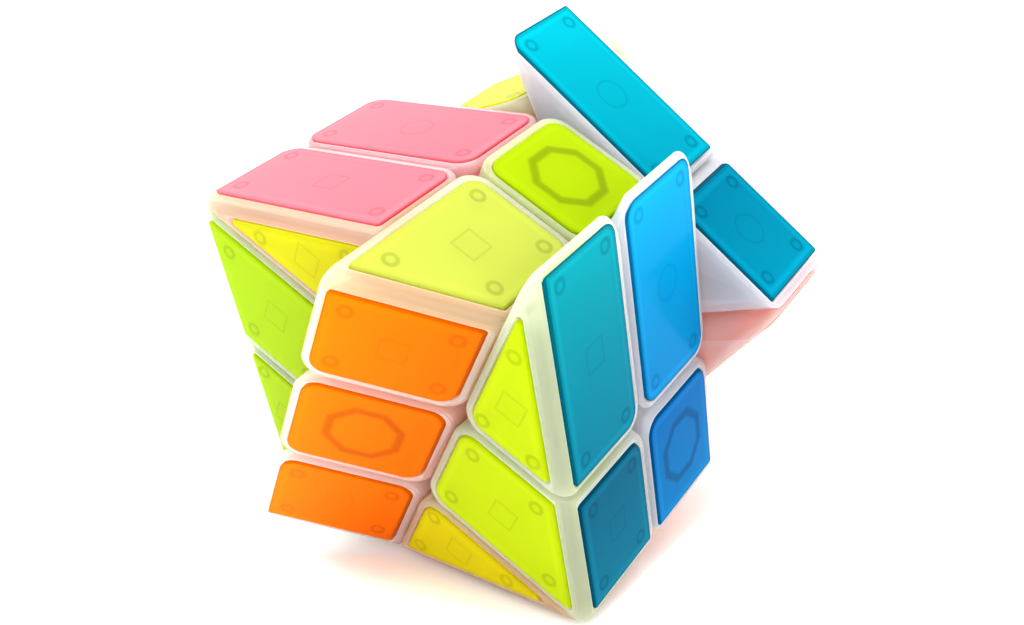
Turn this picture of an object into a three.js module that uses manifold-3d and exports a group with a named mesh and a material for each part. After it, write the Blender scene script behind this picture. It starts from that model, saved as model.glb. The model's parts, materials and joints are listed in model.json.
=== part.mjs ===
// A 3x3x3 twisty puzzle of the windmill kind, in millimetres.
//
// A plain cube is cut by three pairs of parallel planes that are turned by TWIST inside
// it, about one axis that is called the windmill axis here. Every slice boundary passes through
// the cube's vertical edges, so a windmill face holds a square, four trapezoids and four
// triangles, and a side face holds a narrow and a wide column.
//
// Mechanism frame: X to the right, Y to the back, Z up, the core's middle at the origin.
// The middle slice (|x| < CUT) has its windmill axis along Z, and the two slices beside it
// have theirs along Y. The back layer (y > CUT) then stands part-turned about Y.
import * as THREE from "three";
import { mergeVertices } from "three/addons/utils/BufferGeometryUtils.js";
import Module from "manifold-3d";

const wasm = await Module();
wasm.setup();

// ---- driving dimensions -------------------------------------------------------------
const CUBE = 57; // edge of the solved cube
const HALF = CUBE / 2;
const CUT = CUBE / 6; // distance of each slicing plane from the middle
const TWIST = Math.acos(CUT / HALF / Math.SQRT2) - Math.PI / 4; // slices against the cube
const BACK_TURN = THREE.MathUtils.degToRad(48); // how far the back layer has been turned
const HEADING = THREE.MathUtils.degToRad(-35.2); // the standing puzzle's turn about its vertical

const GAP = 0.3; // running gap between neighbouring pieces
const EDGE_RADIUS = 2.5; // outer edges of the cube
const CORNER_RADIUS = 3.4; // piece corners where two slicing planes meet
const ROUND_STEPS = 2; // flats that stand for one rounded edge

const WALL = 1.6; // walls along the slicing planes
const SEAT_DEPTH = 1.2; // recess that holds a cap
const SEAT_FLOOR = 1.2; // material under a cap
const SEAT_FROM_CUT = 1.0; // rim beside a slicing plane
const SEAT_FROM_EDGE = 2.1; // rim beside an outer edge of the cube
const SEAT_RADIUS = 2.6; // seat corners where two slicing planes meet
const SEAT_HOLE = 2.8; // radius of the hole in the seat floor
const CAP_CLEAR = 0.2; // gap all round a cap
const CAP_PROUD = 0.15; // how far a cap stands above its rim
const BOSS_CLEAR = 0.3; // gap round the boss under a cap

const INNER_CUT = 5.5; // slicing distance inside the ball of feet
const BLOCK_BALL = 20.4; // outer blocks stay outside this radius
const FOOT_BALL = 19.5; // feet stay inside this radius
const FOOT_INNER = 13; // and outside this one
const BALL_SEGMENTS = 16;
const BAR_SIDES = 10;

const HUB_RADIUS = 6.5;
const ARM_RADIUS = 3.4;
const ARM_LENGTH = 11.6;
const ARM_BORE = 1.5;
const ARM_BORE_DEPTH = 8;
const WELL_RADIUS = 3.9; // spring well in a centre piece
const WELL_FLOOR = 15;
const WELL_TOP = 25.5;
const SHANK_RADIUS = 1.1;
const SHANK_HOLE = 1.7;
const SCREW_END = 5;
const HEAD_BASE = 20.6;
const HEAD_RADIUS = 3.1;
const HEAD_HEIGHT = 1.8;
const SLOT_WIDTH = 0.8;
const SCREW_TAPER = 0.6; // share left of the tip and of the head where they are bevelled
const SPRING_RADIUS = 2.4;
const SPRING_WIRE = 0.35;
const SPRING_TURNS = 4;
const SPRING_STEPS = 8; // straight lengths in one turn
const WIRE_SIDES = 6;

const SETTLE_ROUNDS = 8;
const FIRST_DOWN = [0.5, -0.3, -0.8]; // the standing direction to start from

// ---- materials ----------------------------------------------------------------------
const plastic = (color, roughness) =>
  new THREE.MeshStandardMaterial({ color, roughness, metalness: 0 });
const steel = new THREE.MeshStandardMaterial({ color: 0xb9bcc0, roughness: 0.3, metalness: 1 });
const frosted = plastic(0xe9e6e4, 0.35);
const coreWhite = plastic(0xe4e2de, 0.45);
const capColours = {
  yellow: plastic(0xd7f000, 0.2),
  white: plastic(0xf4f4ee, 0.2),
  orange: plastic(0xff8c00, 0.2),
  pink: plastic(0xffa5be, 0.2),
  blue: plastic(0x0090d0, 0.2),
  green: plastic(0x35c95a, 0.2),
};

// ---- solids -------------------------------------------------------------------------
function solidOf(geometry) {
  const bare = geometry.index ? geometry.toNonIndexed() : geometry.clone();
  bare.deleteAttribute("normal");
  bare.deleteAttribute("uv");
  const merged = mergeVertices(bare, 1e-5);
  return new wasm.Manifold(
    new wasm.Mesh({
      numProp: 3,
      vertProperties: new Float32Array(merged.attributes.position.array),
      triVerts: new Uint32Array(merged.index.array),
    }),
  );
}

function meshOf(name, solid, material) {
  const { vertProperties, triVerts } = solid.getMesh();
  const geometry = new THREE.BufferGeometry();
  geometry.setAttribute("position", new THREE.BufferAttribute(vertProperties, 3));
  geometry.setIndex(new THREE.BufferAttribute(triVerts, 1));
  geometry.computeVertexNormals();
  const mesh = new THREE.Mesh(geometry, material);
  mesh.name = name;
  return mesh;
}

const Z_AXIS = new THREE.Vector3(0, 0, 1);
const turnFromZ = (direction) => new THREE.Quaternion().setFromUnitVectors(Z_AXIS, direction);

// A half-space is a normal and the distance of its face from the origin.
const BLOCK = 4 * CUBE; // large enough to stand for everything behind a plane
const plane = (x, y, z, distance) => ({ normal: new THREE.Vector3(x, y, z), distance });
const moved = ({ normal, distance }, inwards) => ({ normal, distance: distance - inwards });

function halfSpace({ normal, distance }) {
  const block = new THREE.BoxGeometry(BLOCK, BLOCK, BLOCK);
  block.translate(0, 0, distance - BLOCK / 2);
  block.applyQuaternion(turnFromZ(normal));
  return solidOf(block);
}

const common = (planes) => planes.map(halfSpace).reduce((all, next) => all.intersect(next));

// The flats that round the edge between two planes with a given radius.
function roundedEdge(first, second, radius) {
  const flats = [];
  const angle = first.normal.angleTo(second.normal);
  const square = Math.sin(angle);
  for (let step = 1; step <= ROUND_STEPS; step += 1) {
    const turn = (angle * step) / (ROUND_STEPS + 1);
    const a = Math.sin(angle - turn) / square;
    const b = Math.sin(turn) / square;
    const normal = first.normal.clone().multiplyScalar(a).addScaledVector(second.normal, b);
    const distance = a * (first.distance - radius) + b * (second.distance - radius) + radius;
    flats.push({ normal, distance });
  }
  return flats;
}

// A round bar along an axis, from one height to another.
function bar(direction, radius, from, to, sides) {
  const geometry = new THREE.CylinderGeometry(radius, radius, to - from, sides);
  geometry.rotateX(Math.PI / 2);
  geometry.translate(0, 0, (from + to) / 2);
  geometry.applyQuaternion(turnFromZ(direction));
  return solidOf(geometry);
}

const ball = (radius) => solidOf(new THREE.SphereGeometry(radius, BALL_SEGMENTS, BALL_SEGMENTS / 2));
const blockBall = ball(BLOCK_BALL);
const cavityBall = ball(BLOCK_BALL + WALL);
const footShell = ball(FOOT_BALL).subtract(ball(FOOT_INNER));
const stemShell = ball(BLOCK_BALL + WALL / 2).subtract(ball(FOOT_INNER));

// ---- faces of the cube, as each slice carries them ----------------------------------
const SIN = Math.sin(TWIST);
const COS = Math.cos(TWIST);
const middleBox = {
  top: plane(0, 0, 1, HALF),
  bottom: plane(0, 0, -1, HALF),
  front: plane(SIN, -COS, 0, HALF),
  back: plane(-SIN, COS, 0, HALF),
};
const sideBox = {
  front: plane(0, -1, 0, HALF),
  back: plane(0, 1, 0, HALF),
  right: plane(COS, 0, SIN, HALF),
  top: plane(-SIN, 0, COS, HALF),
  left: plane(-COS, 0, -SIN, HALF),
  bottom: plane(SIN, 0, -COS, HALF),
};
const middleColours = { top: "yellow", bottom: "white", front: "orange", back: "pink" };
const sideColours = {
  front: "yellow", back: "white", right: "blue", top: "pink", left: "green", bottom: "orange",
};
const opposite = {
  top: "bottom", bottom: "top", front: "back", back: "front", left: "right", right: "left",
};

// ---- cells --------------------------------------------------------------------------
const AXES = ["x", "y", "z"];

// The slicing planes round a cell: one on the inner side of each axis that it is off-centre
// on, and two on an axis that it straddles.
function cutPlanes(cell, cut, inset) {
  const planes = [];
  AXES.forEach((axis, index) => {
    const signs = cell[axis] === 0 ? [1, -1] : [-cell[axis]];
    for (const sign of signs) {
      const normal = new THREE.Vector3().setComponent(index, sign);
      const distance = (cell[axis] === 0 ? cut : -cut) - GAP / 2 - inset;
      planes.push({ normal, distance, axis });
    }
  });
  return planes;
}

// Slicing planes meet in a rounded corner where their edge runs out to the cube's surface.
function cornerFlats(cell, planes, radius) {
  const flats = [];
  planes.forEach((first, index) => {
    for (const second of planes.slice(index + 1)) {
      const third = AXES.find((axis) => axis !== first.axis && axis !== second.axis);
      if (first.axis !== second.axis && cell[third] !== 0) {
        flats.push(...roundedEdge(first, second, radius));
      }
    }
  });
  return flats;
}

function edgeFlats(box) {
  const flats = [];
  const names = Object.keys(box);
  names.forEach((name, index) => {
    for (const other of names.slice(index + 1)) {
      if (opposite[name] !== other) flats.push(...roundedEdge(box[name], box[other], EDGE_RADIUS));
    }
  });
  return flats;
}

const boxOf = (cell) => (cell.x === 0 ? middleBox : sideBox);
const coloursOf = (cell) => (cell.x === 0 ? middleColours : sideColours);

// The cube faces that a cell shows, the windmill face first.
function facesOf(cell) {
  if (cell.x === 0) {
    const ends = { 1: "top", 0: null, "-1": "bottom" };
    const sides = { 1: "back", 0: null, "-1": "front" };
    return [ends[cell.z], sides[cell.y]].filter(Boolean);
  }
  const ends = { 1: "back", 0: null, "-1": "front" };
  const sides = cell.x > 0
    ? { 1: "right", 0: "right", "-1": "bottom" }
    : { 1: "top", 0: "left", "-1": "left" };
  return [ends[cell.y], sides[cell.z]].filter(Boolean);
}

// Everything beside a face that bounds its seat, with the rims as insets.
function seatWalls(cell, face, clearance) {
  const box = boxOf(cell);
  const cuts = cutPlanes(cell, CUT, SEAT_FROM_CUT + clearance);
  const corners = cornerFlats(cell, cuts, SEAT_RADIUS - clearance);
  const edges = Object.keys(box)
    .filter((name) => name !== face && name !== opposite[face])
    .map((name) => moved(box[name], SEAT_FROM_EDGE + clearance));
  return [...cuts, ...corners, ...edges];
}

// A slab of the seat's outline between two depths below the face.
function seatSlab(cell, face, clearance, low, high) {
  const outer = moved(boxOf(cell)[face], -high);
  const inner = { normal: outer.normal.clone().negate(), distance: -boxOf(cell)[face].distance - low };
  return common([outer, inner, ...seatWalls(cell, face, clearance)]);
}

// The middle of a solid's volume.
function centroid(solid) {
  const { vertProperties, triVerts } = solid.getMesh();
  const corner = (index) => new THREE.Vector3().fromArray(vertProperties, 3 * triVerts[index]);
  const sum = new THREE.Vector3();
  let total = 0;
  for (let index = 0; index < triVerts.length; index += 3) {
    const [a, b, c] = [corner(index), corner(index + 1), corner(index + 2)];
    const volume = a.dot(b.clone().cross(c));
    sum.addScaledVector(a.add(b).add(c), volume / 4);
    total += volume;
  }
  return sum.divideScalar(total);
}

// A round bar through the middle of a seat, square to its face.
function seatBar(cell, face, radius, low, high) {
  const { normal } = boxOf(cell)[face];
  const middle = centroid(seatSlab(cell, face, 0, -SEAT_DEPTH, 0));
  middle.addScaledVector(normal, -middle.dot(normal));
  return bar(normal, radius, HALF + low, HALF + high, BAR_SIDES).translate(middle.toArray());
}

// ---- sub-parts ----------------------------------------------------------------------
const isCentre = (cell) => Math.abs(cell.x) + Math.abs(cell.y) + Math.abs(cell.z) === 1;
const axisOf = (cell) => new THREE.Vector3(cell.x, cell.y, cell.z);

// A hollow block, with a foot under its neighbours and a stem that joins the two.
function housing(cell) {
  const box = boxOf(cell);
  const cuts = cutPlanes(cell, CUT, 0);
  const rounded = [...cornerFlats(cell, cuts, CORNER_RADIUS), ...edgeFlats(box)];
  const outer = common([...cuts, ...Object.values(box), ...rounded]);
  const faceWalls = Object.values(box).map((face) => moved(face, SEAT_DEPTH + SEAT_FLOOR));
  const hollow = common([...cutPlanes(cell, CUT, WALL), ...faceWalls]).subtract(cavityBall);
  let solid = outer.subtract(blockBall).subtract(hollow);

  const footPrism = common([...cutPlanes(cell, INNER_CUT, 0), ...Object.values(box)]);
  solid = solid.add(footPrism.intersect(footShell));
  solid = solid.add(footPrism.intersect(stemShell).intersect(common([...cuts, ...Object.values(box)])));

  for (const face of facesOf(cell)) {
    solid = solid.subtract(seatSlab(cell, face, 0, -SEAT_DEPTH, CUBE));
    if (!isCentre(cell)) {
      const depth = SEAT_DEPTH + SEAT_FLOOR + WALL;
      solid = solid.subtract(seatBar(cell, face, SEAT_HOLE, -depth, CUBE));
    }
  }
  if (isCentre(cell)) {
    const well = bar(axisOf(cell), WELL_RADIUS + WALL, WELL_FLOOR, WELL_TOP, BAR_SIDES);
    solid = solid.add(well.intersect(outer));
    for (const face of facesOf(cell)) solid = solid.subtract(seatSlab(cell, face, 0, -SEAT_DEPTH, CUBE));
    solid = solid.subtract(bar(axisOf(cell), WELL_RADIUS, WELL_FLOOR, CUBE, BAR_SIDES));
    solid = solid.subtract(bar(axisOf(cell), SHANK_HOLE, 0, CUBE, BAR_SIDES));
  }
  return solid;
}

// A coloured cap: a plate that fills its seat, with a boss that plugs the hole below it.
function cap(cell, face) {
  const plate = seatSlab(cell, face, CAP_CLEAR, CAP_CLEAR - SEAT_DEPTH, CAP_PROUD);
  if (isCentre(cell)) return plate;
  const bossRadius = SEAT_HOLE - BOSS_CLEAR;
  return plate.add(seatBar(cell, face, bossRadius, -SEAT_DEPTH - SEAT_FLOOR, -CAP_PROUD));
}

// A hub with six arms, each bored for a screw.
function core() {
  let solid = solidOf(new THREE.IcosahedronGeometry(HUB_RADIUS, 1));
  for (const arm of centreCells) {
    solid = solid.add(bar(axisOf(arm), ARM_RADIUS, 0, ARM_LENGTH, BAR_SIDES));
  }
  for (const arm of centreCells) {
    solid = solid.subtract(bar(axisOf(arm), ARM_BORE, ARM_LENGTH - ARM_BORE_DEPTH, CUBE, BAR_SIDES));
  }
  return solid;
}

// A pan-head screw with a straight slot, along +Z.
function screw() {
  const profile = [
    [0, SCREW_END], [SHANK_RADIUS * SCREW_TAPER, SCREW_END], [SHANK_RADIUS, SCREW_END + SHANK_RADIUS],
    [SHANK_RADIUS, HEAD_BASE], [HEAD_RADIUS, HEAD_BASE],
    [HEAD_RADIUS, HEAD_BASE + HEAD_HEIGHT * SCREW_TAPER],
    [HEAD_RADIUS * SCREW_TAPER, HEAD_BASE + HEAD_HEIGHT], [0, HEAD_BASE + HEAD_HEIGHT],
  ];
  const turned = new THREE.LatheGeometry(profile.map(([x, y]) => new THREE.Vector2(x, y)), BAR_SIDES);
  turned.rotateX(Math.PI / 2);
  const slot = new THREE.BoxGeometry(CUBE, SLOT_WIDTH, HEAD_HEIGHT);
  slot.translate(0, 0, HEAD_BASE + HEAD_HEIGHT);
  return solidOf(turned).subtract(solidOf(slot));
}

// A compression spring between the well's floor and the screw's head, along +Z.
class Coil extends THREE.Curve {
  getPoint(t, target = new THREE.Vector3()) {
    const low = WELL_FLOOR + SPRING_WIRE + GAP;
    const high = HEAD_BASE - SPRING_WIRE - GAP;
    const angle = 2 * Math.PI * SPRING_TURNS * t;
    const height = low + (high - low) * t;
    return target.set(SPRING_RADIUS * Math.cos(angle), SPRING_RADIUS * Math.sin(angle), height);
  }
}

function spring() {
  const wire = new THREE.Shape().absarc(0, 0, SPRING_WIRE, 0, 2 * Math.PI);
  const steps = SPRING_TURNS * SPRING_STEPS;
  const extrudePath = new Coil();
  const options = { steps, curveSegments: WIRE_SIDES / 2, extrudePath, bevelEnabled: false };
  return solidOf(new THREE.ExtrudeGeometry(wire, options));
}

// ---- assembly -----------------------------------------------------------------------
const signs = [-1, 0, 1];
const cells = signs.flatMap((x) => signs.flatMap((y) => signs.map((z) => ({ x, y, z }))));
const outerCells = cells.filter((cell) => cell.x !== 0 || cell.y !== 0 || cell.z !== 0);
const centreCells = outerCells.filter(isCentre);

const kinds = ["core", "centre", "edge", "corner"];
function nameOf(cell) {
  const kind = kinds[Math.abs(cell.x) + Math.abs(cell.y) + Math.abs(cell.z)];
  const words = [
    { 1: "back", "-1": "front" }[cell.y],
    { 1: "top", "-1": "bottom" }[cell.z],
    { 1: "right", "-1": "left" }[cell.x],
  ];
  return [kind, ...words.filter(Boolean)].join("_");
}

const layers = { "-1": new THREE.Group(), 0: new THREE.Group(), 1: new THREE.Group() };
layers[1].rotation.y = -BACK_TURN;

for (const cell of outerCells) {
  layers[cell.y].add(meshOf(nameOf(cell), housing(cell), frosted));
  // Sixty sub-parts are the limit, so the main cap of each centre and edge is made here.
  if (Math.abs(cell.x) + Math.abs(cell.y) + Math.abs(cell.z) < 3) {
    const [face] = facesOf(cell);
    const colour = capColours[coloursOf(cell)[face]];
    layers[cell.y].add(meshOf("cap_" + nameOf(cell), cap(cell, face), colour));
  }
}

const mechanism = new THREE.Group();
mechanism.add(meshOf("core", core(), coreWhite));
for (const cell of centreCells) {
  const side = nameOf(cell).replace("centre_", "");
  for (const [name, solid] of [["screw_" + side, screw()], ["spring_" + side, spring()]]) {
    const mesh = meshOf(name, solid, steel);
    mesh.quaternion.copy(turnFromZ(axisOf(cell)));
    mechanism.add(mesh);
  }
}
for (const layer of Object.values(layers)) mechanism.add(layer);

// The puzzle stands on three corners. The plane under them is found by stepping to the
// lowest point of each of the three pieces until the points stay the same.
const feet = [[-1, "edge_front_bottom"], [-1, "edge_front_right"], [1, "corner_back_bottom_left"]];

function lowestPoint(mesh, down) {
  const point = new THREE.Vector3();
  const lowest = new THREE.Vector3();
  const positions = mesh.geometry.attributes.position;
  for (let index = 0; index < positions.count; index += 1) {
    point.fromBufferAttribute(positions, index).applyMatrix4(mesh.matrixWorld);
    if (index === 0 || point.dot(down) > lowest.dot(down)) lowest.copy(point);
  }
  return lowest;
}

mechanism.updateMatrixWorld(true);
const down = new THREE.Vector3(...FIRST_DOWN).normalize();
for (let round = 0; round < SETTLE_ROUNDS; round += 1) {
  const contacts = feet.map(([layer, name]) => lowestPoint(layers[layer].getObjectByName(name), down));
  down.copy(new THREE.Plane().setFromCoplanarPoints(...contacts).normal);
  if (down.z > 0) down.negate();
}
mechanism.quaternion.setFromUnitVectors(down, new THREE.Vector3(0, 0, -1));
mechanism.quaternion.premultiply(new THREE.Quaternion().setFromAxisAngle(Z_AXIS, HEADING));

// The origin is at the middle of the bounding box, on the surface that it stands on.
const bounds = new THREE.Box3().setFromObject(mechanism, true);
const middle = bounds.getCenter(new THREE.Vector3());
mechanism.position.set(-middle.x, -middle.y, -bounds.min.z);

const puzzle = new THREE.Group();
puzzle.add(mechanism);
export default puzzle;
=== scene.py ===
import itertools
import json
import math

import bmesh
import bpy
import numpy as np
from mathutils import Matrix, Vector


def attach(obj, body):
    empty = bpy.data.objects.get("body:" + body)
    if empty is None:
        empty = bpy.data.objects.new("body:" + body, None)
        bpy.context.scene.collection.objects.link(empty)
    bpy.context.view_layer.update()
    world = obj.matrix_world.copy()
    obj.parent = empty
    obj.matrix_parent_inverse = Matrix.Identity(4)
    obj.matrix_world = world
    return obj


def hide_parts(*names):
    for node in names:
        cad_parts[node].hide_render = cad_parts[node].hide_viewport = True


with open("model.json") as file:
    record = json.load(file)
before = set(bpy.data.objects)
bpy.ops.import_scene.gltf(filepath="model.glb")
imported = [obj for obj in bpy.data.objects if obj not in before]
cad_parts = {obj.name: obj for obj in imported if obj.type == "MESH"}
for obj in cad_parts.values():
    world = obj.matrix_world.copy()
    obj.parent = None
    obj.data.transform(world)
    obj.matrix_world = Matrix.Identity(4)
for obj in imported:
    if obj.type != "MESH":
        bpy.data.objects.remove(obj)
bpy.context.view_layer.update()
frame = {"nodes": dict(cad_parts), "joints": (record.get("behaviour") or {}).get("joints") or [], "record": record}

# ---- dimensions shared with the CAD model --------------------------------------------
CUBE = 57.0
HALF = CUBE / 2
CUT = CUBE / 6
TWIST = math.acos(CUT / HALF / math.sqrt(2)) - math.pi / 4
BACK_TURN = math.radians(48)
GAP = 0.3
EDGE_RADIUS = 2.5
CORNER_RADIUS = 3.4
WALL = 1.6
SEAT_DEPTH = 1.2
SEAT_FLOOR = 1.2
SEAT_FROM_CUT = 1.0
SEAT_FROM_EDGE = 2.1
SEAT_RADIUS = 2.6
SEAT_HOLE = 2.8
CAP_CLEAR = 0.2
CAP_PROUD = 0.15
BOSS_CLEAR = 0.3
INNER_CUT = 5.5
BLOCK_BALL = 20.4
FOOT_BALL = 19.5
FOOT_INNER = 13.0
WELL_RADIUS = 3.9
WELL_FLOOR = 15.0
WELL_TOP = 25.5
SHANK_HOLE = 1.7

# ---- fine detail ----------------------------------------------------------------------
ROUND_STEPS = 7  # flats in a rounded edge
RIM = 0.55  # small rounding along every other outer edge of a housing
RIM_STEPS = 4
INNER_RIM = 0.3
TIP_RADIUS = 0.5  # cap corners at the cube's edges
ARC_STEPS = 8
SEAT_CHAMFER = 0.15
CAP_RIM = 0.3
CAP_BANDS = (0.55, 0.8, 1.2, 1.7)  # loops on a cap's top, for the shading near its outline
PEG_RADIUS = 1.1
PEG_BORE = 0.55
PEG_CLEAR = 0.2
PEG_LENGTH = 1.2
PEG_SHORTEST = 0.4  # a shorter peg is left out, with its hole
PEG_FLOOR = 0.8  # material left below a peg's hole
PEG_INSET = 2.9
PEG_INSET_SMALL = 2.0  # on three-sided caps
PEG_FROM_BOSS = 3.9
BOSS_WALL = 0.5
BOSS_LENGTH = 1.4
RIDGE_OUTER = 5.3  # octagonal ridge under a centre cap
RIDGE_INNER = 4.4
RIDGE_HEIGHT = 0.12
BALL_FINENESS = 4
BAR_SIDES = 48
SMOOTH_BELOW = math.radians(40)
THIN_SHARE = 0.6  # how much of a cap's colour is left where the block behind it thins out; painted light, paler where more light would shine through
THIN_LENGTH = 10.0
FAR_AWAY = 9.0  # stands for a peg that a cap doesn't have


# ---- planes and cells, as in the CAD model ----------------------------------------------
class Plane:
    def __init__(self, normal, distance, kind):
        self.normal = np.array(normal, float)
        self.distance = distance
        self.kind = kind

    def moved(self, inwards):
        return Plane(self.normal, self.distance - inwards, self.kind)


SIN, COS = math.sin(TWIST), math.cos(TWIST)
MIDDLE_BOX = {
    "top": (0, 0, 1), "bottom": (0, 0, -1),
    "front": (SIN, -COS, 0), "back": (-SIN, COS, 0),
}
SIDE_BOX = {
    "front": (0, -1, 0), "back": (0, 1, 0), "right": (COS, 0, SIN),
    "top": (-SIN, 0, COS), "left": (-COS, 0, -SIN), "bottom": (SIN, 0, -COS),
}
OPPOSITE = {
    "top": "bottom", "bottom": "top", "front": "back",
    "back": "front", "left": "right", "right": "left",
}
MIDDLE_COLOURS = {"top": "yellow", "bottom": "white", "front": "orange", "back": "pink"}
SIDE_COLOURS = {
    "front": "yellow", "back": "white", "right": "blue",
    "top": "pink", "left": "green", "bottom": "orange",
}


def box_of(cell):
    box = MIDDLE_BOX if cell[0] == 0 else SIDE_BOX
    return {face: Plane(normal, HALF, face) for face, normal in box.items()}


def colour_of(cell, face):
    return (MIDDLE_COLOURS if cell[0] == 0 else SIDE_COLOURS)[face]


def faces_of(cell):
    """The cube faces that a cell shows, the windmill face first."""
    x, y, z = cell
    depth = {1: "back", 0: None, -1: "front"}
    if x == 0:
        faces = ({1: "top", 0: None, -1: "bottom"}[z], depth[y])
    elif x > 0:
        faces = (depth[y], "bottom" if z < 0 else "right")
    else:
        faces = (depth[y], "top" if z > 0 else "left")
    return [face for face in faces if face]


def cut_planes(cell, cut, inset):
    planes = []
    for axis, place in enumerate(cell):
        for sign in (1, -1) if place == 0 else (-place,):
            normal = np.zeros(3)
            normal[axis] = sign
            distance = (cut if place == 0 else -cut) - GAP / 2 - inset
            planes.append(Plane(normal, distance, axis))
    return planes


def rounded_edge(first, second, radius):
    flats = []
    angle = math.acos(np.clip(first.normal @ second.normal, -1, 1))
    for step in range(1, ROUND_STEPS + 1):
        turn = angle * step / (ROUND_STEPS + 1)
        a, b = math.sin(angle - turn) / math.sin(angle), math.sin(turn) / math.sin(angle)
        normal = a * first.normal + b * second.normal
        distance = a * (first.distance - radius) + b * (second.distance - radius) + radius
        flats.append(Plane(normal, distance, "rounding"))
    return flats


def roundings(cell, cuts, box):
    flats = []
    for first, second in itertools.combinations(cuts, 2):
        if first.kind != second.kind and cell[3 - first.kind - second.kind] != 0:
            flats += rounded_edge(first, second, CORNER_RADIUS)
    for first, second in itertools.combinations(box, 2):
        if OPPOSITE[first.kind] != second.kind:
            flats += rounded_edge(first, second, EDGE_RADIUS)
    return flats


def corners_of(planes):
    """The corner points of the solid inside the planes, and which planes touch each."""
    normals = np.array([plane.normal for plane in planes])
    distances = np.array([plane.distance for plane in planes])
    triples = np.array(list(itertools.combinations(range(len(planes)), 3)))
    triples = triples[abs(np.linalg.det(normals[triples])) > 1e-4]
    points = np.linalg.solve(normals[triples], distances[triples][..., None])[..., 0]
    points = points[(points @ normals.T <= distances + 1e-6).all(axis=1)]
    points = np.unique(points.round(5), axis=0)
    return points, abs(points @ normals.T - distances) < 1e-4


# ---- meshes ------------------------------------------------------------------------------
scene = bpy.context.scene


def new_object(name, bm):
    mesh = bpy.data.meshes.new(name)
    bm.to_mesh(mesh)
    bm.free()
    piece = bpy.data.objects.new(name, mesh)
    scene.collection.objects.link(piece)
    return piece


def hull(name, points):
    bm = bmesh.new()
    for point in points:
        bm.verts.new(point)
    bmesh.ops.remove_doubles(bm, verts=bm.verts, dist=1e-3)
    made = bmesh.ops.convex_hull(bm, input=bm.verts)
    spare = made["geom_interior"] + made["geom_unused"]
    inner = {v for v in spare if isinstance(v, bmesh.types.BMVert)}
    bmesh.ops.delete(bm, geom=list(inner), context="VERTS")
    bmesh.ops.dissolve_limit(bm, angle_limit=math.radians(0.3), verts=bm.verts, edges=bm.edges)
    bmesh.ops.recalc_face_normals(bm, faces=bm.faces)
    return new_object(name, bm)


def between(first, second):
    """Directions along the arc between two normals."""
    angle = math.acos(np.clip(first @ second, -1, 1))
    if angle < SMOOTH_BELOW / 2:
        return []
    turns = angle * np.arange(1, RIM_STEPS) / RIM_STEPS
    return [(math.sin(angle - t) * first + math.sin(t) * second) / math.sin(angle) for t in turns]


def rounded_solid(name, planes, flats, radius):
    """The solid inside the planes, with every edge rounded by a radius."""
    rough, _ = corners_of(planes)
    flats = [flat for flat in flats if (rough @ flat.normal).max() > flat.distance + 1e-3]
    inset = [plane.moved(radius) for plane in planes + flats]
    normals = np.array([plane.normal for plane in inset])
    cloud = []
    for point, touching in zip(*corners_of(inset)):
        near = normals[touching]
        directions = list(near)
        for first, second in itertools.combinations(near, 2):
            directions += between(first, second)
        middle = near.sum(axis=0)
        directions.append(middle / np.linalg.norm(middle))
        for first in near:
            directions += between(first, middle / np.linalg.norm(middle))
        cloud += [point + radius * direction for direction in directions]
    return hull(name, cloud)


def ball(radius):
    bm = bmesh.new()
    bmesh.ops.create_icosphere(bm, subdivisions=BALL_FINENESS, radius=radius)
    return new_object("ball", bm)


def add_bar(bm, place, radius, low, high, sides=BAR_SIDES):
    """A bar along a placed Z axis, from one height to another, with a flat towards its X."""
    place = place @ Matrix.Translation((0, 0, (low + high) / 2))
    place = place @ Matrix.Rotation(math.pi / sides, 4, "Z")
    bmesh.ops.create_cone(
        bm, cap_ends=True, segments=sides, radius1=radius, radius2=radius,
        depth=high - low, matrix=place,
    )


def bar(direction, radius, low, high):
    bm = bmesh.new()
    place = Vector((0, 0, 1)).rotation_difference(Vector(direction)).to_matrix().to_4x4()
    add_bar(bm, place, radius, low, high)
    return new_object("bar", bm)


def shaped(piece, *steps):
    """Applies boolean steps, each an operation and a tool that is used up."""
    for operation, tool in steps:
        modifier = piece.modifiers.new(operation, "BOOLEAN")
        modifier.operation = operation
        modifier.solver = "MANIFOLD"
        modifier.object = tool
    apply_modifiers(piece)
    for tool in {tool for _, tool in steps}:
        bpy.data.objects.remove(tool)
    return piece


def apply_modifiers(piece):
    graph = bpy.context.evaluated_depsgraph_get()
    finished = bpy.data.meshes.new_from_object(piece.evaluated_get(graph), depsgraph=graph)
    piece.modifiers.clear()
    piece.data = finished


# ---- seats and caps ------------------------------------------------------------------------
def thickness(cell, seat, points):
    """How far the block reaches behind points on one of its faces."""
    depths = []
    for plane in cut_planes(cell, CUT, 0) + list(box_of(cell).values()):
        slope = -plane.normal @ seat.normal
        if slope > 1e-3:
            depths.append((plane.distance - points @ plane.normal) / slope)
    return np.clip(np.min(depths, axis=0), 0, None)


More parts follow.
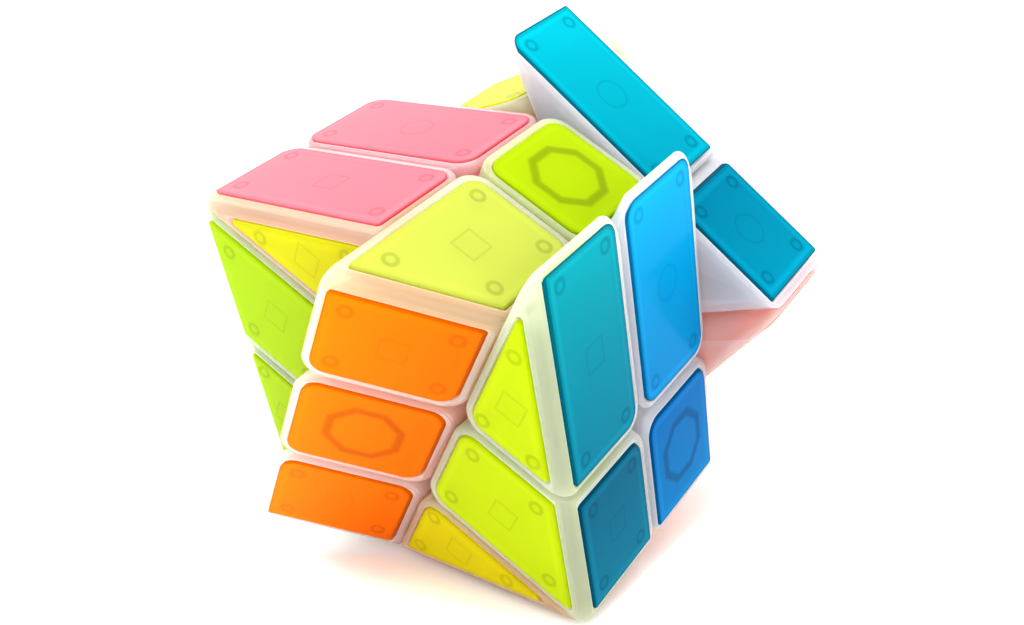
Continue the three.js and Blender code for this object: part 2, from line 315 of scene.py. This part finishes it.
class Seat:
    """The outline of a recess on one face of a cell, or of the cap in it."""

    def __init__(self, cell, face, clearance):
        box = box_of(cell)
        self.cell = cell
        self.normal = box[face].normal
        helper = np.array((1.0, 0, 0)) if abs(self.normal[2]) > 0.99 else np.array((0, 0, 1.0))
        self.across = np.cross(helper, self.normal)
        self.across /= np.linalg.norm(self.across)
        self.along = np.cross(self.normal, self.across)
        walls = cut_planes(cell, CUT, SEAT_FROM_CUT + clearance)
        walls += [
            plane.moved(SEAT_FROM_EDGE + clearance)
            for name, plane in box.items() if name not in (face, OPPOSITE[face])
        ]
        walls = [wall for wall in walls if self.reaches(wall, walls)]
        self.walls = sorted(walls, key=lambda wall: math.atan2(*self.line(wall)[0][::-1]))
        self.radii = []
        for first, second in self.pairs():
            cut_corner = isinstance(first.kind, int) and isinstance(second.kind, int)
            self.radii.append(SEAT_RADIUS - clearance if cut_corner else TIP_RADIUS)

    def pairs(self):
        return list(zip(self.walls, self.walls[1:] + self.walls[:1]))

    def line(self, wall, height=0.0):
        """A wall's direction and reach in the face's own plane, at a height above the face."""
        flat = np.array((wall.normal @ self.across, wall.normal @ self.along))
        size = np.linalg.norm(flat)
        lift = wall.normal @ self.normal * (HALF + height)
        return flat / max(size, 1e-9), (wall.distance - lift) / max(size, 1e-9)

    def reaches(self, wall, walls):
        """Whether a wall forms more than a sliver of the outline."""
        normal, reach = self.line(wall)
        if abs(np.linalg.norm(normal) - 1) > 1e-6:
            return False
        along = np.array((-normal[1], normal[0]))
        low, high = -CUBE, CUBE
        for other in walls:
            if other is wall:
                continue
            direction, limit = self.line(other)
            slope, room = direction @ along, limit - direction @ normal * reach
            if slope > 1e-6:
                high = min(high, room / slope)
            elif slope < -1e-6:
                low = max(low, room / slope)
            elif room < 0:
                return False
        return high - low > 3 * GAP

    def corner(self, pair, inset, height=0.0):
        lines = [self.line(wall, height) for wall in pair]
        return np.linalg.solve([line[0] for line in lines], [line[1] - inset for line in lines])

    def corners(self, inset, height=0.0):
        return [self.corner(pair, inset, height) for pair in self.pairs()]

    def loop(self, inset, height):
        points = []
        for pair, corner_radius in zip(self.pairs(), self.radii):
            radius = max(corner_radius - inset, 0.1)
            centre = self.corner(pair, inset + radius, height)
            start, end = (math.atan2(*self.line(wall)[0][::-1]) for wall in pair)
            sweep = (end - start) % (2 * math.pi)
            for step in range(ARC_STEPS + 1):
                angle = start + sweep * step / ARC_STEPS
                offset = radius * np.array((math.cos(angle), math.sin(angle)))
                points.append(self.place(centre + offset, height))
        return points

    def place(self, point, height):
        return point[0] * self.across + point[1] * self.along + (HALF + height) * self.normal

    def upright(self, point):
        """A frame that stands on the cube's middle plane under a point, with Z along the normal."""
        place = Matrix((self.across, self.along, self.normal)).transposed().to_4x4()
        place.translation = self.place(point, -HALF)
        return place

    def middle(self):
        """The middle of the outline's area."""
        corners = np.array(self.corners(0))
        following = np.roll(corners, -1, axis=0)
        areas = corners[:, 0] * following[:, 1] - corners[:, 1] * following[:, 0]
        return ((corners + following) * areas[:, None]).sum(axis=0) / (3 * areas.sum())

    def pegs(self):
        inset = PEG_INSET if len(self.walls) > 3 else PEG_INSET_SMALL
        middle = self.middle()
        return [peg for peg in self.corners(inset) if np.linalg.norm(peg - middle) > PEG_FROM_BOSS]

    def peg_hole(self, peg):
        """How deep a peg's hole can go: where the block is thin, it stops short of the far side."""
        turns = [step * math.pi / 4 for step in range(8)]
        rays = [np.array((math.cos(turn), math.sin(turn))) for turn in turns]
        ring = [self.place(peg + (PEG_RADIUS + PEG_CLEAR) * ray, 0) for ray in rays]
        far_side = thickness(self.cell, self, np.array(ring)).min()
        return min(SEAT_DEPTH + SEAT_FLOOR + WALL, far_side - PEG_FLOOR)

    def fitted_pegs(self):
        """The pegs that have room below them, each with its length and the depth of its hole."""
        fitted = []
        for peg in self.pegs():
            depth = self.peg_hole(peg)
            length = min(PEG_LENGTH, depth - PEG_CLEAR - (SEAT_DEPTH - CAP_CLEAR))
            if length > PEG_SHORTEST:
                fitted.append((peg, length, depth))
        return fitted

    def depth(self, point):
        """How far a point lies inside the outline."""
        depth = min(reach - normal @ point for normal, reach in map(self.line, self.walls))
        for pair, radius in zip(self.pairs(), self.radii):
            away = point - self.corner(pair, radius)
            if all(self.line(wall)[0] @ away > 0 for wall in pair):
                depth = min(depth, radius - np.linalg.norm(away))
        return depth


def add_loft(bm, loops):
    """A closed solid through loops of points, each with as many points as the next."""
    rings = [[bm.verts.new(point) for point in loop] for loop in loops]
    for low, high in zip(rings, rings[1:]):
        for index in range(len(low)):
            after = (index + 1) % len(low)
            bm.faces.new((low[index], low[after], high[after], high[index]))
    bm.faces.new(rings[0][::-1])
    bm.faces.new(rings[-1])


def is_centre(cell):
    return sum(map(abs, cell)) == 1


def seat_cutter(cell):
    bm = bmesh.new()
    for face in faces_of(cell):
        seat = Seat(cell, face, 0)
        profile = [(0, -SEAT_DEPTH), (0, -SEAT_CHAMFER), (-SEAT_CHAMFER, 0), (-SEAT_CHAMFER, 1.5)]
        add_loft(bm, [seat.loop(inset, height) for inset, height in profile])
    return new_object("seats", bm)


def hole_cutter(cell):
    bm = bmesh.new()
    for face in faces_of(cell):
        seat = Seat(cell, face, 0)
        floor = HALF - SEAT_DEPTH - SEAT_FLOOR - WALL
        add_bar(bm, seat.upright(seat.middle()), SEAT_HOLE, floor, HALF)
        for peg, _, depth in seat.fitted_pegs():
            add_bar(bm, seat.upright(peg), PEG_RADIUS + PEG_CLEAR, HALF - depth, HALF)
    return new_object("holes", bm)


def housing(cell):
    """A hollow block, with a foot under its neighbours and a stem that joins the two."""
    cuts = cut_planes(cell, CUT, 0)
    box = list(box_of(cell).values())
    outer = rounded_solid("housing", cuts + box, roundings(cell, cuts, box), RIM)
    inner_box = [plane.moved(SEAT_DEPTH + SEAT_FLOOR) for plane in box]
    hollow = rounded_solid("hollow", cut_planes(cell, CUT, WALL) + inner_box, [], INNER_RIM)
    shaped(hollow, ("DIFFERENCE", ball(BLOCK_BALL + WALL)))
    inner_cuts = cut_planes(cell, INNER_CUT, 0)
    foot = rounded_solid("foot", inner_cuts + box, [], INNER_RIM)
    shaped(foot, ("INTERSECT", ball(FOOT_BALL)), ("DIFFERENCE", ball(FOOT_INNER)))
    stem = rounded_solid("stem", inner_cuts + cuts + box, [], INNER_RIM)
    shaped(stem, ("INTERSECT", ball(BLOCK_BALL + WALL / 2)), ("DIFFERENCE", ball(FOOT_INNER)))
    steps = [
        ("DIFFERENCE", ball(BLOCK_BALL)), ("DIFFERENCE", hollow),
        ("UNION", foot), ("UNION", stem),
    ]
    if is_centre(cell):
        steps += [("UNION", bar(cell, WELL_RADIUS + WALL, WELL_FLOOR, WELL_TOP))]
        steps += [("DIFFERENCE", bar(cell, WELL_RADIUS, WELL_FLOOR, CUBE))]
        steps += [("DIFFERENCE", bar(cell, SHANK_HOLE, 0, CUBE))]
    else:
        steps += [("DIFFERENCE", hole_cutter(cell))]
    steps += [("DIFFERENCE", seat_cutter(cell))]
    return shaped(outer, *steps)


def cap(cell, face):
    """A coloured cap: a plate with pegs and a boss below it."""
    seat = Seat(cell, face, CAP_CLEAR)
    bottom = CAP_CLEAR - SEAT_DEPTH
    profile = [(CAP_RIM, bottom), (0, bottom + CAP_RIM)]
    for step in range(4):
        turn = math.pi / 2 * step / 3
        profile.append((CAP_RIM * (1 - math.cos(turn)), CAP_PROUD - CAP_RIM * (1 - math.sin(turn))))
    profile += [(band, CAP_PROUD) for band in CAP_BANDS]
    bm = bmesh.new()
    add_loft(bm, [seat.loop(inset, height) for inset, height in profile])
    plate = new_object("cap", bm)
    fittings, bores = bmesh.new(), bmesh.new()
    recess = Seat(cell, face, 0)
    low = HALF + bottom
    if is_centre(cell):
        tubes = [(recess.middle(), RIDGE_OUTER, RIDGE_INNER, RIDGE_HEIGHT, 8)]
    else:
        boss, sides = SEAT_HOLE - BOSS_CLEAR, 4 if cell[1] < 0 else BAR_SIDES
        tubes = [(recess.middle(), boss, boss - BOSS_WALL, BOSS_LENGTH, sides)]
        for peg, length, _ in recess.fitted_pegs():
            tubes.append((peg, PEG_RADIUS, PEG_BORE, length, BAR_SIDES))
    for point, outer, inner, length, sides in tubes:
        add_bar(fittings, seat.upright(point), outer, low - length, low + CAP_RIM, sides)
        add_bar(bores, seat.upright(point), inner, low - 2 * length, low, sides)
    fitted = new_object("fittings", fittings)
    shaped(fitted, ("DIFFERENCE", new_object("bores", bores)))
    return shaped(plate, ("UNION", fitted)), seat


# ---- placing ------------------------------------------------------------------------------
turn_joint = next(j for j in frame["joints"] if j["name"] == "back_layer_turn")
top_mount = next(m for m in frame["record"]["mounts"] if m["name"] == "top_centre_face")
back_axis = Vector(turn_joint["axis"]).normalized()
up_axis = Vector(top_mount["axis"]).normalized()
MILLIMETRE = 0.001
mechanism = Matrix((back_axis.cross(up_axis), back_axis, up_axis)).transposed().to_4x4()
mechanism.translation = Vector(turn_joint["pos_m"])
to_world = mechanism @ Matrix.Scale(MILLIMETRE, 4)
layers = {
    -1: ("front_layer", to_world),
    0: ("root", to_world),
    1: ("back_layer", to_world @ Matrix.Rotation(-BACK_TURN, 4, "Y")),
}


def name_of(cell):
    kind = ("core", "centre", "edge", "corner")[sum(map(abs, cell))]
    words = (
        {1: "back", -1: "front"}.get(cell[1]),
        {1: "top", -1: "bottom"}.get(cell[2]),
        {1: "right", -1: "left"}.get(cell[0]),
    )
    return "_".join([kind] + [word for word in words if word])


def settle(piece, name, cell, material):
    """Names, shades and places a finished mesh, and gives it to its layer."""
    body, place = layers[cell[1]]
    piece.name = piece.data.name = name
    piece.data.transform(place)
    for polygon in piece.data.polygons:
        polygon.use_smooth = True
    piece.data.set_sharp_from_angle(angle=SMOOTH_BELOW)
    weighted = piece.modifiers.new("normals", "WEIGHTED_NORMAL")
    weighted.keep_sharp = True
    weighted.mode = "FACE_AREA"
    apply_modifiers(piece)
    piece.data.materials.clear()
    piece.data.materials.append(material)
    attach(piece, body)
    return piece


# ---- materials ------------------------------------------------------------------------------
PLASTIC_IOR = 1.45
FROSTED_DARK = (230, 229, 232)
FROSTED_LIGHT = (240, 239, 242)
FROSTED_SCATTER = 0.5  # share of light that passes into the plastic and scatters
CAP_SCATTER = 0.4
CAP_CLARITY = 0.25  # share of light that passes straight through a cap
EDGE_HIGHLIGHT_RANGE = (0.505, 0.56)  # pointiness where the painted highlight on an edge starts and where it is fully pale
EDGE_HIGHLIGHT = 0.7
EDGE_HIGHLIGHT_COLOUR = (252, 252, 252)
MOST_GLOWING_CAPS = 2  # caps whose colour is stored on a housing, for painted light glowing through it
CAP_LIGHT_NEAR = (-3.0, 0.0, 1.0, 0.7)  # height against a cap's face, and the share of its colour in the painted light
CAP_LIGHT_FAR = (-20.0, -7.0, 0.15, 1.0)


def linear(red, green, blue):
    """An 8-bit display colour as linear light."""
    values = (np.array((red, green, blue)) / 255).tolist()
    return [v / 12.92 if v <= 0.04045 else ((v + 0.055) / 1.055) ** 2.4 for v in values] + [1.0]


class Nodes:
    """Short-hand for building one material's nodes."""

    def __init__(self, name):
        self.material = bpy.data.materials.new(name)
        self.material.use_nodes = True
        self.tree = self.material.node_tree
        self.tree.nodes.clear()

    def add(self, kind, inputs=None, **settings):
        node = self.tree.nodes.new(kind)
        for key, value in settings.items():
            setattr(node, key, value)
        for key, value in (inputs or {}).items():
            self.feed(node.inputs[key], value)
        return node

    def feed(self, socket, value):
        if isinstance(value, bpy.types.NodeSocket):
            self.tree.links.new(value, socket)
        else:
            socket.default_value = value

    def maths(self, operation, first, second=0.0, third=0.0):
        inputs = {0: first, 1: second, 2: third}
        return self.add("ShaderNodeMath", inputs, operation=operation).outputs[0]

    def product(self, first, *others):
        for other in others:
            first = self.maths("MULTIPLY", first, other)
        return first

    def attribute(self, name, output):
        return self.add("ShaderNodeAttribute", attribute_name=name).outputs[output]

    def length(self, vector):
        return self.add("ShaderNodeVectorMath", {0: vector}, operation="LENGTH").outputs["Value"]

    def noise(self, scale, detail=2.0):
        where = self.add("ShaderNodeTexCoord").outputs["Object"]
        inputs = {"Vector": where, "Scale": scale, "Detail": detail}
        return self.add("ShaderNodeTexNoise", inputs).outputs["Fac"]

    def ramp(self, value, low, high, to_low=0.0, to_high=1.0):
        inputs = {0: value, 1: low, 2: high, 3: to_low, 4: to_high}
        node = self.add("ShaderNodeMapRange", inputs, interpolation_type="SMOOTHSTEP")
        return node.outputs[0]

    def mix(self, factor, first, second, blend="MIX"):
        node = self.add("ShaderNodeMix", data_type="RGBA", blend_type=blend)
        for index, value in ((0, factor), (6, first), (7, second)):
            self.feed(node.inputs[index], value)
        return node.outputs[2]

    def bump(self, height, distance, strength):
        inputs = {"Height": height, "Distance": distance, "Strength": strength}
        return self.add("ShaderNodeBump", inputs).outputs[0]

    def finish(self, shader):
        output = self.add("ShaderNodeOutputMaterial")
        self.tree.links.new(shader, output.inputs["Surface"])
        return self.material


def translucent(nodes, principled, colour, share, normal):
    """Some of the light passes through a shader's surface and scatters."""
    inputs = {"Color": colour, "Normal": normal}
    through = nodes.add("ShaderNodeBsdfTranslucent", inputs).outputs[0]
    return nodes.add("ShaderNodeMixShader", {0: share, 1: principled, 2: through}).outputs[0]


def frosted_material():
    nodes = Nodes("frosted_housing")
    cloud = nodes.noise(90, 3)
    grain = nodes.noise(2600, 2)
    # painted highlight: rounded rims, where the surface is pointy, are whitened as if catching the light
    edge = nodes.add("ShaderNodeNewGeometry").outputs["Pointiness"]
    edge = nodes.ramp(edge, *EDGE_HIGHLIGHT_RANGE)
    colour = nodes.mix(cloud, linear(*FROSTED_DARK), linear(*FROSTED_LIGHT))
    # painted light: each cap's colour glows through the frosted plastic near it, fading with depth below the cap
    for index in range(MOST_GLOWING_CAPS):
        sink = nodes.attribute(f"sink_{index}", "Fac")
        cap_light = nodes.attribute(f"cap_light_{index}", "Color")
        near = nodes.ramp(sink, *CAP_LIGHT_NEAR)
        far = nodes.ramp(sink, *CAP_LIGHT_FAR)
        share = nodes.product(nodes.attribute(f"share_{index}", "Fac"), nodes.product(near, far))
        colour = nodes.mix(share, colour, cap_light)
    colour = nodes.mix(nodes.product(edge, EDGE_HIGHLIGHT), colour, linear(*EDGE_HIGHLIGHT_COLOUR))
    speckle = nodes.maths("ADD", cloud, nodes.product(grain, 0.4))
    roughness = nodes.ramp(speckle, 0.4, 1.0, 0.15, 0.25)
    normal = nodes.bump(grain, 0.00005, 0.12)
    principled = nodes.add("ShaderNodeBsdfPrincipled", {
        "Base Color": colour, "Roughness": roughness, "Normal": normal, "IOR": PLASTIC_IOR,
        "Alpha": 0.45, "Specular IOR Level": 0.9,
    }).outputs[0]
    return nodes.finish(translucent(nodes, principled, colour, FROSTED_SCATTER, normal))


# How strongly each colour shows its painted shade along the outline, its painted light towards the top, and its
# shine.
OUTLINE_SHADES = {"yellow": 0.15, "white": 0.15, "orange": 0.4, "pink": 0.4, "blue": 0.6, "green": 0.2}
PAINTED_LIGHT_STRENGTHS = {"yellow": 0.05, "white": 0.0, "orange": 0.05, "pink": 0.15, "blue": 1.0, "green": 0.3}
GLOSSES = {"yellow": 0.35, "white": 0.4, "orange": 0.25, "pink": 0.35, "blue": 0.08, "green": 0.3}
TOP_LIGHT_HEIGHTS = (0.015, 0.075)  # metres above the ground, over which the painted light towards the top rises
TOP_LIGHT_GAIN = (1.5, 1.55, 1.2, 1.0)
RIM_HIGHLIGHT_GAIN = (1.6, 1.6, 1.5, 1.0)  # painted highlight: a paler band just inside a cap's outline
MOST_PEGS = 4
PEG_MARK = 0.28
ROUND_BOSS, SQUARE_BOSS, OCTAGON_BOSS = 0.0, 1.0, 2.0
# Each mark's inner and outer edge, softness and strength.
ROUND_MARK = (2.3, 2.55, 0.15, 0.2)
SQUARE_MARK = (1.7, 1.95, 0.15, 0.2)
OCTAGON_MARK = (RIDGE_INNER - 0.2, RIDGE_OUTER + 0.1, 0.35, 0.45)
SPECULAR_TINTS = {
    "yellow": (0.9, 1.0, 0.25, 1.0), "white": (1.0, 1.0, 1.0, 1.0), "orange": (1.0, 0.6, 0.05, 1.0),
    "pink": (1.0, 0.75, 0.8, 1.0), "blue": (0.0, 0.6, 0.9, 1.0), "green": (0.3, 1.0, 0.4, 1.0),
}


def boss_marks(nodes):
    """A thin circle or square where a boss lies below, and a broad octagon on centres."""
    place = nodes.attribute("boss", "Vector")
    axes = nodes.add("ShaderNodeSeparateXYZ", {0: place}).outputs
    across, along = (nodes.maths("ABSOLUTE", axes[index]) for index in range(2))
    square = nodes.maths("MAXIMUM", across, along)
    diagonal = nodes.product(nodes.maths("ADD", across, along), math.sqrt(0.5))
    octagon = nodes.maths("MAXIMUM", square, diagonal)
    inputs = {0: place, 1: (1, 1, 0)}
    flat = nodes.add("ShaderNodeVectorMath", inputs, operation="MULTIPLY").outputs[0]
    marks = None
    for kind, distance, inner, outer, soft, strength in (
        (ROUND_BOSS, nodes.length(flat), *ROUND_MARK),
        (SQUARE_BOSS, square, *SQUARE_MARK),
        (OCTAGON_BOSS, octagon, *OCTAGON_MARK),
    ):
        chosen = nodes.maths("COMPARE", axes[2], kind, 0.5)
        band = nodes.product(
            nodes.ramp(distance, inner - soft, inner + soft),
            nodes.ramp(distance, outer + soft, outer - soft), chosen, strength,
        )
        marks = band if marks is None else nodes.maths("ADD", marks, band)
    return marks


def cap_material(colour_name):
    nodes = Nodes("cap_" + colour_name)
    tint = nodes.attribute("tint", "Color")
    rim = nodes.attribute("rim", "Fac")
    # painted shade: the colour darkens towards the cap's outline, where it meets the housing
    marks = nodes.product(nodes.ramp(rim, 0.35, 0.15), OUTLINE_SHADES[colour_name])
    for index in range(MOST_PEGS):
        away = nodes.length(nodes.attribute(f"peg_{index}", "Vector"))
        ring = nodes.product(nodes.ramp(away, 0.45, 0.75), nodes.ramp(away, 1.3, 1.0), PEG_MARK)
        marks = nodes.maths("ADD", marks, ring)
    marks = nodes.maths("ADD", marks, boss_marks(nodes))
    shade = nodes.mix(0.75, tint, (0.0, 0.0, 0.0, 1.0))
    colour = nodes.mix(nodes.product(nodes.noise(60, 2), 0.1), tint, shade)
    # painted light: the colour brightens towards the top, as if lit from above through the plastic
    where = nodes.add("ShaderNodeTexCoord").outputs["Object"]
    height = nodes.add("ShaderNodeSeparateXYZ", {0: where}).outputs["Z"]
    top_light = nodes.product(nodes.ramp(height, *TOP_LIGHT_HEIGHTS), PAINTED_LIGHT_STRENGTHS[colour_name])
    colour = nodes.mix(top_light, colour, nodes.mix(1.0, colour, TOP_LIGHT_GAIN, "MULTIPLY"))
    # painted highlight: a paler band just inside the outline, standing in for a reflection along the cap's rim
    inside = nodes.product(
        nodes.ramp(rim, 0.5, 0.9), nodes.ramp(rim, 2.2, 1.0), PAINTED_LIGHT_STRENGTHS[colour_name] * 0.45 + 0.1
    )
    colour = nodes.mix(inside, colour, nodes.mix(1.0, colour, RIM_HIGHLIGHT_GAIN, "MULTIPLY"))
    colour = nodes.mix(nodes.maths("MINIMUM", marks, 1.0), colour, shade)
    roughness = nodes.ramp(nodes.noise(900, 2), 0.3, 0.7, 0.1, 0.17)
    normal = nodes.bump(nodes.noise(260, 2), 0.0001, 0.05)
    principled = nodes.add("ShaderNodeBsdfPrincipled", {
        "Base Color": colour, "Roughness": roughness, "Normal": normal, "IOR": PLASTIC_IOR,
        "Specular IOR Level": GLOSSES[colour_name], "Specular Tint": SPECULAR_TINTS[colour_name],
    }).outputs[0]
    body = translucent(nodes, principled, colour, CAP_SCATTER, normal)
    clear = nodes.add("ShaderNodeBsdfTransparent", {"Color": colour}).outputs[0]
    inputs = {0: CAP_CLARITY, 1: body, 2: clear}
    return nodes.finish(nodes.add("ShaderNodeMixShader", inputs).outputs[0])


def steel_material():
    nodes = Nodes("plated_steel")
    scratch = nodes.noise(4000, 4)
    colour = nodes.mix(nodes.noise(300, 3), (0.52, 0.53, 0.55, 1.0), (0.68, 0.69, 0.71, 1.0))
    return nodes.finish(nodes.add("ShaderNodeBsdfPrincipled", {
        "Base Color": colour, "Metallic": 1.0,
        "Roughness": nodes.ramp(scratch, 0.3, 0.7, 0.22, 0.4),
        "Normal": nodes.bump(scratch, 0.00002, 0.3),
    }).outputs[0])


def core_material():
    nodes = Nodes("core_plastic")
    grain = nodes.noise(1800, 3)
    colour = nodes.mix(nodes.noise(200, 2), linear(226, 224, 219), linear(238, 236, 232))
    return nodes.finish(nodes.add("ShaderNodeBsdfPrincipled", {
        "Base Color": colour, "Roughness": nodes.ramp(grain, 0.3, 0.7, 0.4, 0.55),
        "Normal": nodes.bump(grain, 0.00004, 0.2),
    }).outputs[0])


CAP_TINTS = {
    "yellow": (206, 226, 0), "white": (236, 236, 230), "orange": (250, 130, 0),
    "pink": (244, 110, 130), "blue": (0, 84, 138), "green": (52, 180, 84),
}
CAP_LIGHT_SHARES = {  # how strongly a cap's colour shows as painted light in the frosted plastic round it
    "yellow": 0.36, "white": 0.0, "orange": 0.3, "pink": 0.3, "blue": 0.08, "green": 0.05,
}
LIT_THROUGH_TINTS = {  # painted light: a cap's colour mixed with the light passing through the cap behind it; by own colour, the colour behind it (none on a centre), and a face if it matters
    ("blue", "yellow"): (0, 112, 146),
    ("blue", "white"): (0, 116, 158),
    ("blue", None): (0, 120, 192),
    ("yellow", "green"): (188, 222, 0),
    ("yellow", "pink"): (220, 222, 0),
    ("yellow", None): (186, 212, 0),
    # painted highlight: the whitish glare on the yellow top over orange
    ("yellow", "orange"): (204, 214, 92),
    ("yellow", "orange", "front"): (228, 218, 0),
}


def tint_of(cell, face):
    own = colour_of(cell, face)
    behind = [colour_of(cell, other) for other in faces_of(cell) if other != face]
    key = (own, behind[0] if behind else None)
    return LIT_THROUGH_TINTS.get(key + (face,)) or LIT_THROUGH_TINTS.get(key) or CAP_TINTS[own]


def points_of(piece):
    points = np.empty(3 * len(piece.data.vertices))
    piece.data.vertices.foreach_get("co", points)
    return points.reshape(-1, 3)


def store(piece, name, kind, values):
    """Writes one value, vector or colour for each point of a mesh."""
    slots = {"FLOAT": "value", "FLOAT_VECTOR": "vector", "FLOAT_COLOR": "color"}
    attribute = piece.data.attributes.new(name, kind, "POINT")
    attribute.data.foreach_set(slots[kind], np.asarray(values, np.float32).ravel())


def paint_cap_light(piece, cell):
    """Stores on a housing's points how far they lie below each cap, and each cap's colour, for the painted light
    that glows through the frosted plastic.
    """
    points = points_of(piece)
    faces = faces_of(cell)
    for index in range(MOST_GLOWING_CAPS):
        face = faces[min(index, len(faces) - 1)]
        colour = colour_of(cell, face)
        store(piece, f"sink_{index}", "FLOAT", points @ box_of(cell)[face].normal - HALF)
        store(piece, f"share_{index}", "FLOAT", np.full(len(points), CAP_LIGHT_SHARES[colour]))
        tints = np.tile(linear(*CAP_TINTS[colour]), len(points))
        store(piece, f"cap_light_{index}", "FLOAT_COLOR", tints)
    return piece


def mark(piece, seat, cell, face):
    """Stores on a cap's points what its material draws with: tint with painted light shining through, rim, pegs
    and boss.
    """
    points = points_of(piece)
    flat = np.stack((points @ seat.across, points @ seat.along), axis=1)
    store(piece, "rim", "FLOAT", [seat.depth(point) for point in flat])
    recess = Seat(cell, face, 0)
    pegs = [] if is_centre(cell) else recess.pegs()
    for index in range(MOST_PEGS):
        away = np.full((len(flat), 3), FAR_AWAY)
        if index < len(pegs):
            away[:, :2] = flat - pegs[index]
            away[:, 2] = 0
        store(piece, f"peg_{index}", "FLOAT_VECTOR", away)
    boss = np.empty((len(flat), 3))
    boss[:, :2] = flat - recess.middle()
    side_boss = SQUARE_BOSS if cell[1] < 0 else ROUND_BOSS
    boss[:, 2] = OCTAGON_BOSS if is_centre(cell) else side_boss
    store(piece, "boss", "FLOAT_VECTOR", boss)
    # painted light: the tint turns paler where the block behind the cap is thin, as if more light shone through
    light_through = 1 - (1 - THIN_SHARE) * np.exp(-thickness(cell, seat, points) / THIN_LENGTH)
    store(piece, "tint", "FLOAT_COLOR", np.array(linear(*tint_of(cell, face))) ** light_through[:, None])


# ---- assembly ------------------------------------------------------------------------------
frosted = frosted_material()
cap_materials = {colour: cap_material(colour) for colour in CAP_TINTS}
for cell in itertools.product((-1, 0, 1), repeat=3):
    if cell == (0, 0, 0):
        continue
    name = name_of(cell)
    block = settle(paint_cap_light(housing(cell), cell), name + "_housing", cell, frosted)
    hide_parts(name)
    for index, face in enumerate(faces_of(cell)):
        colour = colour_of(cell, face)
        piece, seat = cap(cell, face)
        mark(piece, seat, cell, face)
        settle(piece, f"{name}_{face}_cap", cell, cap_materials[colour])
        if index == 0 and sum(map(abs, cell)) < 3:
            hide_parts("cap_" + name)

for name, node in frame["nodes"].items():
    if name == "core" or name.startswith(("screw_", "spring_")):
        finish = core_material if name == "core" else steel_material
        shared = bpy.data.materials.get("core_plastic" if name == "core" else "plated_steel")
        node.material_slots[0].material = shared or finish()

# ---- stage ------------------------------------------------------------------------------------
FLOOR_SIZE = 8.0
FLOOR_GAP = 0.0002
WORLD_STRENGTH = 1.25
bm = bmesh.new()
bmesh.ops.create_grid(bm, x_segments=8, y_segments=8, size=FLOOR_SIZE / 2)
floor = new_object("floor", bm)
floor.location.z = -FLOOR_GAP
nodes = Nodes("floor_paper")
paper = nodes.mix(nodes.noise(4, 2), (0.93, 0.93, 0.93, 1.0), (0.95, 0.95, 0.95, 1.0))
floor.data.materials.append(nodes.finish(nodes.add("ShaderNodeBsdfPrincipled", {
    "Base Color": paper, "Roughness": 0.8, "Specular IOR Level": 0.1,
}).outputs[0]))

world = bpy.data.worlds.new("studio")
world.use_nodes = True
world.node_tree.nodes["Background"].inputs["Color"].default_value = (1.0, 1.0, 1.0, 1.0)
world.node_tree.nodes["Background"].inputs["Strength"].default_value = WORLD_STRENGTH
scene.world = world


def softbox(name, location, target, size, power):
    light = bpy.data.lights.new(name, "AREA")
    light.shape = "SQUARE"
    light.size = size
    light.energy = power
    lamp = bpy.data.objects.new(name, light)
    lamp.location = location
    aim = Vector(target) - Vector(location)
    lamp.rotation_euler = aim.to_track_quat("-Z", "Y").to_euler()
    scene.collection.objects.link(lamp)


OBJECT_MIDDLE = (0.0, 0.0, 0.04)
softbox("key", (-0.6, 0.15, 0.6), OBJECT_MIDDLE, 0.4, 3.5)
softbox("overhead", (0.0, -0.15, 0.75), OBJECT_MIDDLE, 0.4, 4.0)
softbox("fill", (0.15, -0.8, 0.12), OBJECT_MIDDLE, 0.6, 2.5)

# The camera, in half cube edges of the mechanism frame.
CAMERA_PLACE = (1.2482, -3.8309, 4.2858)
CAMERA_RIGHT = (0.765045, 0.579156, 0.281575)
CAMERA_UP = (-0.605708, 0.498668, 0.620039)
FOCAL_LENGTH = 38.49
camera = bpy.data.objects.new("camera", bpy.data.cameras.new("camera"))
right = (mechanism.to_3x3() @ Vector(CAMERA_RIGHT)).normalized()
up = (mechanism.to_3x3() @ Vector(CAMERA_UP)).normalized()
camera.matrix_world = Matrix((right, up, right.cross(up))).transposed().to_4x4()
camera.matrix_world.translation = to_world @ (HALF * Vector(CAMERA_PLACE))
camera.data.lens = FOCAL_LENGTH
camera.data.sensor_width = 36.0
camera.data.shift_x = 0.0155
camera.data.shift_y = -0.0022
camera.data.clip_start = 0.01
scene.collection.objects.link(camera)
scene.camera = camera
scene.view_settings.view_transform = "Standard"
scene.view_settings.look = "Medium High Contrast"
scene.cycles.max_bounces = 20
scene.cycles.diffuse_bounces = 8
scene.cycles.transparent_max_bounces = 16
